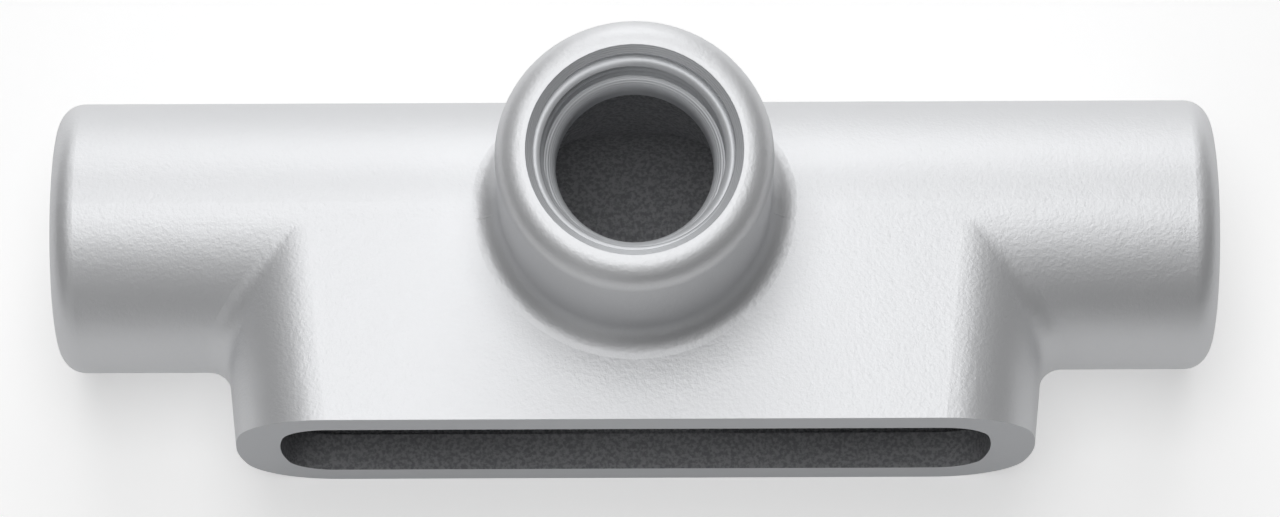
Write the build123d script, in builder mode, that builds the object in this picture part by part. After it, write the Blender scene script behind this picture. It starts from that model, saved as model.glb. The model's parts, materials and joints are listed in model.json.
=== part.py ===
from build123d import *
import math
import os

# Reach of each opening from the point where the hub axes cross
run_length = 158.0  # between the mouth faces of the two end hubs
side_reach = 44.0  # to the mouth face of the side hub
seat_reach = 30.0  # to the machined seat for the cover

# Outside of the casting
barrel_diameter = 37.1  # rounded back along the run, which ends in the two end hubs
side_hub_inset = 0.3  # side hub inside the barrel's width, each side
flat_inset = 0.15  # flat sides of the body inside the barrel's width, each side
mouth_rounding = 3.4  # from the side of a hub to its mouth face
body_length = 111.2  # between the end walls, level with the barrel's front
seat_length = 108.8  # between the end walls at the cover seat
end_bow = 4.0  # middle of an end wall ahead of its corners
end_corner_radius = 12.5  # from a flat side round to an end wall
root_radius = 3.6  # blend where a hub leaves the body

# Inside of the casting
wall = 4.2
lip_width = 6.0  # lip around the cover opening, which a cover is clamped to
lip_depth = 5.0

# Threaded mouths for 3/4 trade size conduit, each with a bushing cast in
thread_diameter = 26.6
thread_depth = 6.5  # mouth face to the shoulder of the bushing, three and a half threads
lead_in = 0.9  # chamfer from the mouth face into the thread
bushing_diameter = 20.8
bushing_length = 5.0
bushing_rounding = 1.9  # outer lip, which wires are pulled over
bushing_chamfer = 1.2  # inner lip

barrel_radius = barrel_diameter / 2
side_hub_radius = barrel_radius - side_hub_inset
half_width = barrel_radius - flat_inset
half_run = run_length / 2
lip_reach = seat_reach - lip_depth
touching = 0.01  # how near an edge runs to a surface that it lies on

# The part lies on its side with the side hub upright, and the origin is at the middle of the
# underside of its box. X is along the run and the cover opening faces -Y.
run_y = (seat_reach - barrel_radius) / 2
run_axis = Axis((0, run_y, barrel_radius), (1, 0, 0))
side_axis = Axis((0, run_y, barrel_radius), (0, 0, 1))
run_plane = Plane(origin=(0, run_y, barrel_radius), x_dir=(1, 0, 0), z_dir=(0, -1, 0))
end_mouths = [
    Plane(origin=(-half_run, run_y, barrel_radius), x_dir=(0, 0, 1), z_dir=(-1, 0, 0)),
    Plane(origin=(half_run, run_y, barrel_radius), x_dir=(0, 0, -1), z_dir=(1, 0, 0)),
]
side_mouth = Plane(origin=(0, run_y, barrel_radius + side_reach), z_dir=(0, 0, 1))


def body_outline(reach, inset=0):
    """Outline of the body seen into its cover opening, at a reach from the run axis."""
    draft = (body_length - seat_length) / (seat_reach - barrel_radius)
    half_length = (seat_length + draft * (seat_reach - reach)) / 2
    corner_x = half_length - end_bow
    with BuildSketch() as outline:
        with BuildLine():
            Line((-corner_x, half_width), (corner_x, half_width))
            ThreePointArc((corner_x, half_width), (half_length, 0), (corner_x, -half_width))
            Line((corner_x, -half_width), (-corner_x, -half_width))
            ThreePointArc((-corner_x, -half_width), (-half_length, 0), (-corner_x, half_width))
        make_face()
        fillet(outline.vertices(), end_corner_radius)
        if inset > 0:
            offset(amount=-inset, mode=Mode.REPLACE)
    return outline.sketch


def hub_space(depth, passage_radius):
    """Thread, bushing and cored passage of one hub, going down from its mouth at the origin."""
    thread_radius = thread_diameter / 2
    bushing_radius = bushing_diameter / 2
    rounding_start = bushing_radius + bushing_rounding
    rounding_end = -thread_depth - bushing_rounding
    bushing_end = -thread_depth - bushing_length
    with BuildPart() as space:
        with BuildSketch(Plane.XZ):
            with BuildLine():
                Polyline(
                    (0, 0),
                    (thread_radius + lead_in, 0),
                    (thread_radius, -lead_in),
                    (thread_radius, -thread_depth),
                    (rounding_start, -thread_depth),
                )
                Bezier(
                    (rounding_start, -thread_depth),
                    (bushing_radius, -thread_depth),
                    (bushing_radius, rounding_end),
                )
                Polyline(
                    (bushing_radius, rounding_end),
                    (bushing_radius, bushing_end + bushing_chamfer),
                    (bushing_radius + bushing_chamfer, bushing_end),
                    (passage_radius, bushing_end),
                    (passage_radius, -depth),
                    (0, -depth),
                    (0, 0),
                )
            make_face()
        revolve(axis=Axis.Z)
    return space.part


def is_on_hub(edge):
    """Does the middle of an edge lie on the barrel or on the side hub?"""
    middle = edge @ 0.5
    from_run = math.hypot(middle.Y - run_y, middle.Z - barrel_radius)
    from_side = math.hypot(middle.X, middle.Y - run_y)
    return abs(from_run - barrel_radius) < touching or abs(from_side - side_hub_radius) < touching


end_hub_space = hub_space(half_run, barrel_radius - wall)
side_hub_space = hub_space(side_reach, side_hub_radius - wall)

with BuildPart() as conduit_body:
    # Barrel along the run, which is both end hubs too
    with BuildSketch(run_plane) as barrel_section:
        Rectangle(run_length, barrel_radius, align=(Align.CENTER, Align.MIN))
        fillet(barrel_section.vertices().group_by(Axis.Y)[-1], mouth_rounding)
    revolve(axis=run_axis)

    # Body with flat sides, whose end walls draw in a little towards the cover seat
    with BuildSketch(run_plane):
        add(body_outline(0))
    with BuildSketch(run_plane.offset(seat_reach)):
        add(body_outline(seat_reach))
    loft()

    # Side hub
    with BuildSketch(run_plane) as side_section:
        Rectangle(side_hub_radius, side_reach, align=Align.MIN)
        outer_corner = side_section.vertices().group_by(Axis.Y)[-1].sort_by(Axis.X)[-1]
        fillet(outer_corner, mouth_rounding)
    revolve(axis=side_axis)

    # Blends of the casting at the roots of all three hubs
    root_edges = conduit_body.edges().filter_by(GeomType.BSPLINE).filter_by(is_on_hub)
    fillet(root_edges, root_radius)

    # Inside: a round channel behind each mouth, and the box with its lip around the opening
    with BuildSketch(run_plane):
        add(body_outline(lip_reach, wall))
    extrude(amount=lip_reach, mode=Mode.SUBTRACT)
    with BuildSketch(run_plane):
        add(body_outline(seat_reach, lip_width))
    extrude(amount=seat_reach, mode=Mode.SUBTRACT)
    with Locations(*end_mouths):
        add(end_hub_space, mode=Mode.SUBTRACT)
    with Locations(side_mouth):
        add(side_hub_space, mode=Mode.SUBTRACT)

conduit_body.part.label = "conduit_body"
os.makedirs("parts", exist_ok=True)
export_step(conduit_body.part, "parts/conduit_body.step")
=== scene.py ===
import json
import math

import bpy
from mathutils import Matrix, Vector


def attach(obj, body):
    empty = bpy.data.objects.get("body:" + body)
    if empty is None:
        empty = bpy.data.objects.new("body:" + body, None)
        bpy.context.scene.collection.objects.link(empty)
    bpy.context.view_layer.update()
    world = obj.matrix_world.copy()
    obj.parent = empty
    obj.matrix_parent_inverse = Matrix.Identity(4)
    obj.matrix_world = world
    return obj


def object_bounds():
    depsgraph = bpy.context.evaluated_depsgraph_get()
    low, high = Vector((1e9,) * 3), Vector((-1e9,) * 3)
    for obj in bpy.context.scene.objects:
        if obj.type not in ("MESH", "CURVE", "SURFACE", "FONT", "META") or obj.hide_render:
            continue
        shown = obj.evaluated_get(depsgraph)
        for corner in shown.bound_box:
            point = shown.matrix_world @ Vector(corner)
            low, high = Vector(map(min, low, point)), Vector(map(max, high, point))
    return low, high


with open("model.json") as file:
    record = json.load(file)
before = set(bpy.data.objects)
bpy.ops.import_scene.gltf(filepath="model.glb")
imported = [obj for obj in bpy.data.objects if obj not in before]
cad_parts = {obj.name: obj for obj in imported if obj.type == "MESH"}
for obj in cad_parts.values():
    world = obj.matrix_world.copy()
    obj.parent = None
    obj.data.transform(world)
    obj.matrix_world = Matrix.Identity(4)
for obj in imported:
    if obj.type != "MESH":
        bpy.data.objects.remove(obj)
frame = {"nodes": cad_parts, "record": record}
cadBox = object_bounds()
print("frame loaded")

scene = bpy.context.scene
mm = 0.001
white = (1, 1, 1, 1)
sliver = 0.02 * mm  # allowance where a mask or a ridge meets a face of the casting

# where the hub axes cross, and how far the mouth faces and the cover seat stand from there
mounts = {mount["name"]: mount for mount in frame["record"]["mounts"]}
sideHub = mounts["side_hub"]
endHub = mounts["end_hub_left"]
crossing = Vector((sideHub["pos_m"][0], sideHub["pos_m"][1], endHub["pos_m"][2]))
lowest, highest = cadBox
endReach = highest[0] - crossing.x
sideReach = highest[2] - crossing.z
seatReach = crossing.y - lowest[1]


def linearColour(hexCode):
    # sRGB hex code to the linear light that a colour socket takes
    channels = [int(hexCode[i:i + 2], 16) / 255 for i in (1, 3, 5)]
    return [c / 12.92 if c <= 0.04045 else ((c + 0.055) / 1.055) ** 2.4 for c in channels] + [1.0]


def perMetre(sizeMm):
    # texture scale at which one feature is this many millimetres wide
    return 1 / (sizeMm * mm)


def newMaterial(name):
    material = bpy.data.materials.new(name)
    material.use_nodes = True
    material.node_tree.nodes.clear()
    return material


def addNode(tree, kind, settings=None, inputs=None):
    # an input is a value, a socket to link, or a node whose first output is linked
    node = tree.nodes.new(kind)
    for name, value in (settings or {}).items():
        setattr(node, name, value)
    for key, value in (inputs or {}).items():
        source = value.outputs[0] if isinstance(value, bpy.types.Node) else value
        if isinstance(source, bpy.types.NodeSocket):
            tree.links.new(source, node.inputs[key])
        else:
            node.inputs[key].default_value = source
    return node


def lengthOf(tree, way, keep):
    # length of a vector along the axes kept
    kept = addNode(tree, "ShaderNodeVectorMath", {"operation": "MULTIPLY"}, {0: way, 1: keep})
    return addNode(tree, "ShaderNodeVectorMath", {"operation": "LENGTH"}, {0: kept}).outputs["Value"]


def whereAny(tree, mask, *others):
    # 1 where any of the masks is 1
    for other in others:
        mask = addNode(tree, "ShaderNodeMath", {"operation": "MAXIMUM"}, {0: mask, 1: other})
    return mask


def whereAll(tree, *tests):
    # 1 where every test holds, and a test is a distance, a comparison and a limit
    masks = [
        addNode(tree, "ShaderNodeMath", {"operation": comparison}, {0: distance, 1: limit})
        for distance, comparison, limit in tests
    ]
    mask = masks[0]
    for other in masks[1:]:
        mask = addNode(tree, "ShaderNodeMath", {"operation": "MULTIPLY"}, {0: mask, 1: other})
    return mask


view = {
    "distance": 700 * mm,  # from the crossing of the hub axes
    "elevation": math.radians(75),  # above the floor, looking along +Y
    "azimuth": math.radians(0),  # to the right of straight ahead
    "lens": 142.7,
    "aimRight": 0.7 * mm,  # of the crossing, in the picture
    "aimUp": -3.0 * mm,
}
away = Vector((
    math.sin(view["azimuth"]) * math.cos(view["elevation"]),
    -math.cos(view["azimuth"]) * math.cos(view["elevation"]),
    math.sin(view["elevation"]),
))
cameraData = bpy.data.cameras.new("camera")
cameraData.lens = view["lens"]
camera = bpy.data.objects.new("camera", cameraData)
scene.collection.objects.link(camera)
scene.camera = camera
turn = away.to_track_quat("Z", "Y")
aim = crossing + turn @ Vector((view["aimRight"], view["aimUp"], 0))
camera.location = crossing + view["distance"] * away
camera.rotation_euler = (camera.location - aim).to_track_quat("Z", "Y").to_euler()
print("camera placed")

# softboxes overhead and behind, two weak ones to lift the front, and almost nothing from the sides, so
# that what turns away goes dark
studio = {
    "worldStrength": 0.01,
    "lamps": [
        # name, direction from the part (x, y, z), distance, size in metres, watts
        ("overhead", (-0.05, 0.05, 1.0), 1.2, 0.8, 4.9),
        ("highBehind", (-0.05, 0.7, 1.0), 1.2, 1.0, 2.6),
        ("behind", (0.0, 1.0, 0.45), 1.2, 1.0, 4.7),
        ("overCamera", (-0.1, -0.45, 1.0), 1.2, 1.0, 1.2),
        ("lowFront", (-0.5, -1.0, 0.4), 1.2, 0.6, 0.5),
    ],
}
world = bpy.data.worlds.new("studio")
scene.world = world
world.use_nodes = True
world.node_tree.nodes["Background"].inputs["Color"].default_value = white
world.node_tree.nodes["Background"].inputs["Strength"].default_value = studio["worldStrength"]
for name, direction, distance, size, watts in studio["lamps"]:
    lampData = bpy.data.lights.new(name, "AREA")
    lampData.shape = "DISK"
    lampData.size = size
    lampData.energy = watts
    lamp = bpy.data.objects.new(name, lampData)
    scene.collection.objects.link(lamp)
    lamp.location = crossing + Vector(direction).normalized() * distance
    lamp.rotation_euler = Vector(direction).to_track_quat("Z", "Y").to_euler()

# paper floor: dim for the light that it sends back, white with the part's shadow where it is looked at
floor = {
    "size": 6.0,
    "dim": "#6E6E70",
    "seen": "#E4E4E4",
    "glow": 0.46,  # strength of the white added where it is looked at
}
bpy.ops.mesh.primitive_plane_add(size=floor["size"])
floorPiece = bpy.context.object
floorPiece.name = "floor"
paper = newMaterial("matt_paper_floor")
paperTree = paper.node_tree
rays = addNode(paperTree, "ShaderNodeLightPath").outputs
seen = whereAny(paperTree, rays["Is Camera Ray"], rays["Is Glossy Ray"], rays["Is Transmission Ray"])
dimPaper = addNode(paperTree, "ShaderNodeBsdfDiffuse", None, {"Color": linearColour(floor["dim"])})
litPaper = addNode(paperTree, "ShaderNodeBsdfDiffuse", None, {"Color": linearColour(floor["seen"])})
glow = addNode(paperTree, "ShaderNodeEmission", None, {"Color": white, "Strength": floor["glow"]})
whitePaper = addNode(paperTree, "ShaderNodeAddShader", None, {0: litPaper, 1: glow})
mixed = addNode(paperTree, "ShaderNodeMixShader", None, {0: seen, 1: dimPaper, 2: whitePaper})
addNode(paperTree, "ShaderNodeOutputMaterial", None, {"Surface": mixed})
floorPiece.data.materials.append(paper)
print("light and floor placed")

# Grey iron poured in a sand mould, machined, and sprayed with aluminium lacquer: a satin film that is
# half metal, so it goes white towards the softboxes and dark where it turns away. It follows the
# sand's grain outside. The mouths and the cover seat are smooth under it, with the fine marks of the
# tools, and the seat has gone dull. Inside, a darker grey skin is partly the casting's own and partly
# painted shade for the hollow box and passages.
casting = {
    "film": "#E9EAEC",
    "filmMetal": 0.5,
    "filmRoughness": 0.48,
    "filmSheen": 0.15,  # specular level of the lacquer
    # grey skin of the inside, partly the casting's own tone and partly painted shade for the hollows
    "skinAndShade": "#96979B",
    "skinPale": "#B8B9BC",  # dry sand dust left in the hollows
    "dustDeep": 0.42,  # height of the grain, from 0 to 1, up to which dust covers the skin
    "dustHigh": 0.58,  # and from which the skin is bare
    "skinRoughness": 0.7,
    "skinSheen": 0.25,
    "cut": "#DFE1E4",
    "cutMetal": 0.4,
    "cutRoughness": 0.5,
    "seat": "#DCDEE1",
    "seatMetal": 0.4,
    "seatRoughness": 0.55,
    # from here on in millimetres, apart from the grain's detail and roughness
    "grainSize": 0.55,  # one sand grain, about twice the real one so that it shows
    "grainDepth": 0.055,
    "grainDetail": 3.0,
    "grainRoughness": 0.65,
    "lumpSize": 3.2,  # waves of the mould's face
    "lumpDepth": 0.04,
    "feed": 0.45,  # between two rings of the tool, coarser than the real 0.2 so that they show
    "ringDepth": 0.012,  # of the rings, and of the cutter's streaks on the seat
    "streakWidth": 0.6,
    "streakLength": 20.0,
    "boreReach": 14.25,  # just outside the chamfer of a mouth
    "cutDepth": 11.45,  # mouth face to just before the end of the bushing
    "chamferDepth": 0.9,
    "coreReach": 14.6,  # just outside the cored passages
    "boxHalfLength": 52.0,  # an outline that runs inside the walls of the box
    "boxHalfWidth": 16.0,
    "boxCorner": 9.0,
}
cast = newMaterial("sand_cast_iron_aluminium_lacquered")
castTree = cast.node_tree
place = addNode(castTree, "ShaderNodeTexCoord").outputs["Object"]
fromCrossing = addNode(castTree, "ShaderNodeVectorMath", {"operation": "SUBTRACT"}, {0: place, 1: crossing})
x, y, z = addNode(castTree, "ShaderNodeSeparateXYZ", None, {0: fromCrossing}).outputs
eitherSide = addNode(castTree, "ShaderNodeVectorMath", {"operation": "ABSOLUTE"}, {0: fromCrossing})
outward = addNode(castTree, "ShaderNodeSeparateXYZ", None, {0: eitherSide}).outputs[0]
aroundRun = lengthOf(castTree, fromCrossing, (0, 1, 1))
aroundSide = lengthOf(castTree, fromCrossing, (1, 1, 0))

# 1 where the tool has cut: in each mouth down to the end of the bushing, and apart from it on the seat
cutEnds = whereAll(
    castTree,
    (aroundRun, "LESS_THAN", casting["boreReach"] * mm),
    (outward, "GREATER_THAN", endReach - casting["cutDepth"] * mm))
cutSide = whereAll(
    castTree,
    (aroundSide, "LESS_THAN", casting["boreReach"] * mm),
    (z, "GREATER_THAN", sideReach - casting["cutDepth"] * mm))
isCut = whereAny(castTree, cutEnds, cutSide)
onSeat = whereAll(castTree, (y, "LESS_THAN", sliver - seatReach))

# 1 inside the casting, where the darker skin is laid on as painted shade: in the cored passages, and in the
# box behind the cover opening
inRun = whereAll(
    castTree,
    (aroundRun, "LESS_THAN", casting["coreReach"] * mm),
    (outward, "LESS_THAN", endReach - casting["chamferDepth"] * mm))
inSide = whereAll(
    castTree,
    (aroundSide, "LESS_THAN", casting["coreReach"] * mm),
    (z, "LESS_THAN", sideReach - casting["chamferDepth"] * mm),
    (z, "GREATER_THAN", 0.0))
straightX = (casting["boxHalfLength"] - casting["boxCorner"]) * mm
straightZ = (casting["boxHalfWidth"] - casting["boxCorner"]) * mm
pastStraight = addNode(castTree, "ShaderNodeVectorMath", {"operation": "SUBTRACT"}, {
    0: eitherSide, 1: (straightX, 0, straightZ)})
pastStraight = addNode(castTree, "ShaderNodeVectorMath", {"operation": "MAXIMUM"}, {
    0: pastStraight, 1: (0, 0, 0)})
inBox = whereAll(
    castTree,
    (lengthOf(castTree, pastStraight, (1, 0, 1)), "LESS_THAN", casting["boxCorner"] * mm),
    (y, "LESS_THAN", 0.0))
paintedShadeInside = whereAny(castTree, inRun, inSide, inBox)

# grain of the sand, and the slow waves of the mould's face
grain = addNode(castTree, "ShaderNodeTexNoise", None, {
    "Vector": place, "Scale": perMetre(casting["grainSize"]),
    "Detail": casting["grainDetail"], "Roughness": casting["grainRoughness"]})
lump = addNode(castTree, "ShaderNodeTexNoise", None, {
    "Vector": place, "Scale": perMetre(casting["lumpSize"])})
lumpBump = addNode(castTree, "ShaderNodeBump", None, {
    "Distance": casting["lumpDepth"] * mm, "Height": lump})
grainBump = addNode(castTree, "ShaderNodeBump", None, {
    "Distance": casting["grainDepth"] * mm, "Height": grain, "Normal": lumpBump})
film = addNode(castTree, "ShaderNodeBsdfPrincipled", None, {
    "Base Color": linearColour(casting["film"]), "Metallic": casting["filmMetal"],
    "Roughness": casting["filmRoughness"], "Specular IOR Level": casting["filmSheen"],
    "Normal": grainBump})

# dusty hollows in the grey skin, whose darker tone is partly painted shade (a Mix node takes colours at
# inputs 6 and 7 and gives one at output 2, and it takes numbers at inputs 2 and 3)
dust = addNode(castTree, "ShaderNodeMapRange", None, {
    "Value": grain, "From Min": casting["dustDeep"], "From Max": casting["dustHigh"]})
skinAndShadeColour = addNode(castTree, "ShaderNodeMix", {"data_type": "RGBA"}, {
    0: dust, 6: linearColour(casting["skinPale"]), 7: linearColour(casting["skinAndShade"])})
skinAndShade = addNode(castTree, "ShaderNodeBsdfPrincipled", None, {
    "Base Color": skinAndShadeColour.outputs[2], "Roughness": casting["skinRoughness"],
    "Specular IOR Level": casting["skinSheen"], "Normal": grainBump})

# the tool's rings in the mouths, on the way along a hub and out from its axis
alongEnds = addNode(castTree, "ShaderNodeMath", {"operation": "ADD"}, {0: aroundRun, 1: outward})
alongSide = addNode(castTree, "ShaderNodeMath", {"operation": "ADD"}, {0: aroundSide, 1: z})
ringWay = addNode(castTree, "ShaderNodeMix", {"data_type": "FLOAT"}, {
    0: cutSide, 2: alongEnds, 3: alongSide})
ringTurn = addNode(castTree, "ShaderNodeMath", {"operation": "MULTIPLY"}, {
    0: ringWay, 1: 2 * math.pi / (casting["feed"] * mm)})
rings = addNode(castTree, "ShaderNodeMath", {"operation": "SINE"}, {0: ringTurn})
ringBump = addNode(castTree, "ShaderNodeBump", None, {
    "Distance": casting["ringDepth"] * mm, "Height": rings})
cut = addNode(castTree, "ShaderNodeBsdfPrincipled", None, {
    "Base Color": linearColour(casting["cut"]), "Metallic": casting["cutMetal"],
    "Roughness": casting["cutRoughness"], "Normal": ringBump})

# the cutter's streaks along the seat
streakPlace = addNode(castTree, "ShaderNodeVectorMath", {"operation": "MULTIPLY"}, {
    0: place, 1: (casting["streakWidth"] / casting["streakLength"], 1, 1)})
streaks = addNode(castTree, "ShaderNodeTexNoise", None, {
    "Vector": streakPlace, "Scale": perMetre(casting["streakWidth"])})
streakBump = addNode(castTree, "ShaderNodeBump", None, {
    "Distance": casting["ringDepth"] * mm, "Height": streaks})
seat = addNode(castTree, "ShaderNodeBsdfPrincipled", None, {
    "Base Color": linearColour(casting["seat"]), "Metallic": casting["seatMetal"],
    "Roughness": casting["seatRoughness"], "Normal": streakBump})

surface = film
# over the film: the darker skin inside as painted shade, then the cuts and the seat
for mask, layer in ((paintedShadeInside, skinAndShade), (isCut, cut), (onSeat, seat)):
    surface = addNode(castTree, "ShaderNodeMixShader", None, {0: mask, 1: surface, 2: layer})
addNode(castTree, "ShaderNodeOutputMaterial", None, {"Surface": surface})
for slot in frame["nodes"]["conduit_body"].material_slots:
    slot.material = cast
print("casting finished")

# Fourteen threads to the inch, cut with a tap and thinly lacquered: flanks that catch the light in rings.
thread = {
    # sizes in millimetres
    "inputs": {  # of the tree
        "Pitch": 25.4 / 14,
        "Root Radius": sideHub["dims"]["r_mm"],
        "Ridge Height": 1.42,
        "Crest Width": 0.12,
        "Start Depth": 0.3,  # of the first turn below the mouth face
        "End Depth": 6.45,
        "Mouth Radius": 14.2,  # of the chamfer at the mouth face
    },
    "pointsPerTurn": 96,
    "halfFoot": 0.47,  # from the middle of a ridge's foot to its edge, as a share of the pitch
    "intoWall": 0.06,  # the foot reaches this far into the casting
    "belowFace": 0.05,  # a ridge stays this far below the mouth face
    "chatterSize": 0.4,  # small marks that the tap leaves on the flanks
    "chatterDepth": 0.02,
}
threadCoat = newMaterial("tapped_iron_lacquered")
coatTree = threadCoat.node_tree
coatPlace = addNode(coatTree, "ShaderNodeTexCoord").outputs["Object"]
chatter = addNode(coatTree, "ShaderNodeTexNoise", None, {
    "Vector": coatPlace, "Scale": perMetre(thread["chatterSize"])})
chatterBump = addNode(coatTree, "ShaderNodeBump", None, {
    "Distance": thread["chatterDepth"] * mm, "Height": chatter})
flank = addNode(coatTree, "ShaderNodeBsdfPrincipled", None, {
    "Base Color": linearColour(casting["cut"]), "Metallic": casting["cutMetal"],
    "Roughness": casting["cutRoughness"], "Normal": chatterBump})
addNode(coatTree, "ShaderNodeOutputMaterial", None, {"Surface": flank})

threadTree = bpy.data.node_groups.new("tappedThreads", "GeometryNodeTree")
threadTree.interface.new_socket("Geometry", in_out="OUTPUT", socket_type="NodeSocketGeometry")
sockets = {}
for name in thread["inputs"]:
    socket = threadTree.interface.new_socket(name, in_out="INPUT", socket_type="NodeSocketFloat")
    sockets[name] = socket.identifier
given = addNode(threadTree, "NodeGroupInput").outputs

# one helix, right-handed, up from the end of the thread to its start
span = addNode(threadTree, "ShaderNodeMath", {"operation": "SUBTRACT"}, {
    0: given["End Depth"], 1: given["Start Depth"]})
turns = addNode(threadTree, "ShaderNodeMath", {"operation": "DIVIDE"}, {0: span, 1: given["Pitch"]})
helix = addNode(threadTree, "GeometryNodeCurveSpiral", None, {
    "Resolution": thread["pointsPerTurn"], "Rotations": turns,
    "Start Radius": given["Root Radius"], "End Radius": given["Root Radius"],
    "Height": span, "Reverse": True})
helix = addNode(threadTree, "GeometryNodeSetCurveNormal", {"mode": "Z_UP"}, {0: helix})

# its section, a ridge with its foot in the wall and its crest in the bore
halfFoot = addNode(threadTree, "ShaderNodeMath", {"operation": "MULTIPLY"}, {
    0: given["Pitch"], 1: thread["halfFoot"]})
halfCrest = addNode(threadTree, "ShaderNodeMath", {"operation": "MULTIPLY"}, {
    0: given["Crest Width"], 1: 0.5})
inward = addNode(threadTree, "ShaderNodeMath", {"operation": "MULTIPLY"}, {
    0: given["Ridge Height"], 1: -1.0})
foot = addNode(threadTree, "ShaderNodeCombineXYZ", None, {0: thread["intoWall"] * mm, 1: halfFoot})
crest = addNode(threadTree, "ShaderNodeCombineXYZ", None, {0: inward, 1: halfCrest})
otherFoot, otherCrest = [
    addNode(threadTree, "ShaderNodeVectorMath", {"operation": "MULTIPLY"}, {0: corner, 1: (1, -1, 1)})
    for corner in (foot, crest)
]
ridge = addNode(threadTree, "GeometryNodeCurvePrimitiveQuadrilateral", {"mode": "POINTS"}, {
    "Point 1": otherFoot, "Point 2": foot, "Point 3": crest, "Point 4": otherCrest})
swept = addNode(threadTree, "GeometryNodeCurveToMesh", None, {
    "Curve": helix, "Profile Curve": ridge, "Fill Caps": True})

# the chamfer of the mouth cuts the first turn, and the shoulder ends the last
where = addNode(threadTree, "GeometryNodeInputPosition")
height = addNode(threadTree, "ShaderNodeSeparateXYZ", None, {0: where}).outputs["Z"]
bottom = addNode(threadTree, "ShaderNodeMath", {"operation": "MULTIPLY"}, {
    0: given["End Depth"], 1: -1.0})
lift = addNode(threadTree, "ShaderNodeMath", {"operation": "ADD"}, {0: height, 1: bottom})
lift = addNode(threadTree, "ShaderNodeClamp", None, {
    "Value": lift, "Min": bottom, "Max": -thread["belowFace"] * mm})
radius = lengthOf(threadTree, where, (1, 1, 0))
cone = addNode(threadTree, "ShaderNodeMath", {"operation": "ADD"}, {0: given["Mouth Radius"], 1: lift})
cone = addNode(threadTree, "ShaderNodeMath", {"operation": "ADD"}, {0: cone, 1: sliver})
newRadius = addNode(threadTree, "ShaderNodeMath", {"operation": "MAXIMUM"}, {0: radius, 1: cone})
growth = addNode(threadTree, "ShaderNodeMath", {"operation": "DIVIDE"}, {0: newRadius, 1: radius})
spread = addNode(threadTree, "ShaderNodeVectorMath", {"operation": "SCALE"}, {0: where, "Scale": growth})
newX, newY, _ = addNode(threadTree, "ShaderNodeSeparateXYZ", None, {0: spread}).outputs
newPlace = addNode(threadTree, "ShaderNodeCombineXYZ", None, {0: newX, 1: newY, 2: lift})
trimmed = addNode(threadTree, "GeometryNodeSetPosition", None, {"Geometry": swept, "Position": newPlace})

# one in each mouth
joined = addNode(threadTree, "GeometryNodeJoinGeometry")
for mouth, angle in (
    (crossing + Vector((-endReach, 0, 0)), -math.pi / 2),
    (crossing + Vector((endReach, 0, 0)), math.pi / 2),
    (crossing + Vector((0, 0, sideReach)), 0.0),
):
    moved = addNode(threadTree, "GeometryNodeTransform", None, {
        "Geometry": trimmed, "Translation": mouth, "Rotation": (0, angle, 0)})
    threadTree.links.new(moved.outputs[0], joined.inputs[0])
real = addNode(threadTree, "GeometryNodeRealizeInstances", None, {0: joined})
coated = addNode(threadTree, "GeometryNodeSetMaterial", None, {"Geometry": real, "Material": threadCoat})
addNode(threadTree, "NodeGroupOutput", None, {0: coated})

carrier = bpy.data.objects.new("thread_carrier", bpy.data.meshes.new("thread_carrier"))
scene.collection.objects.link(carrier)
modifier = carrier.modifiers.new("tapped threads", "NODES")
modifier.node_group = threadTree
for name, value in thread["inputs"].items():
    modifier[sockets[name]] = value * mm
graph = bpy.context.evaluated_depsgraph_get()
threadMesh = bpy.data.meshes.new_from_object(carrier.evaluated_get(graph), depsgraph=graph)
bpy.data.objects.remove(carrier)
threadPiece = bpy.data.objects.new("hub_threads", threadMesh)
scene.collection.objects.link(threadPiece)
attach(threadPiece, "root")
print("threads cut:", len(threadMesh.polygons), "faces")

scene.view_settings.view_transform = "Standard"
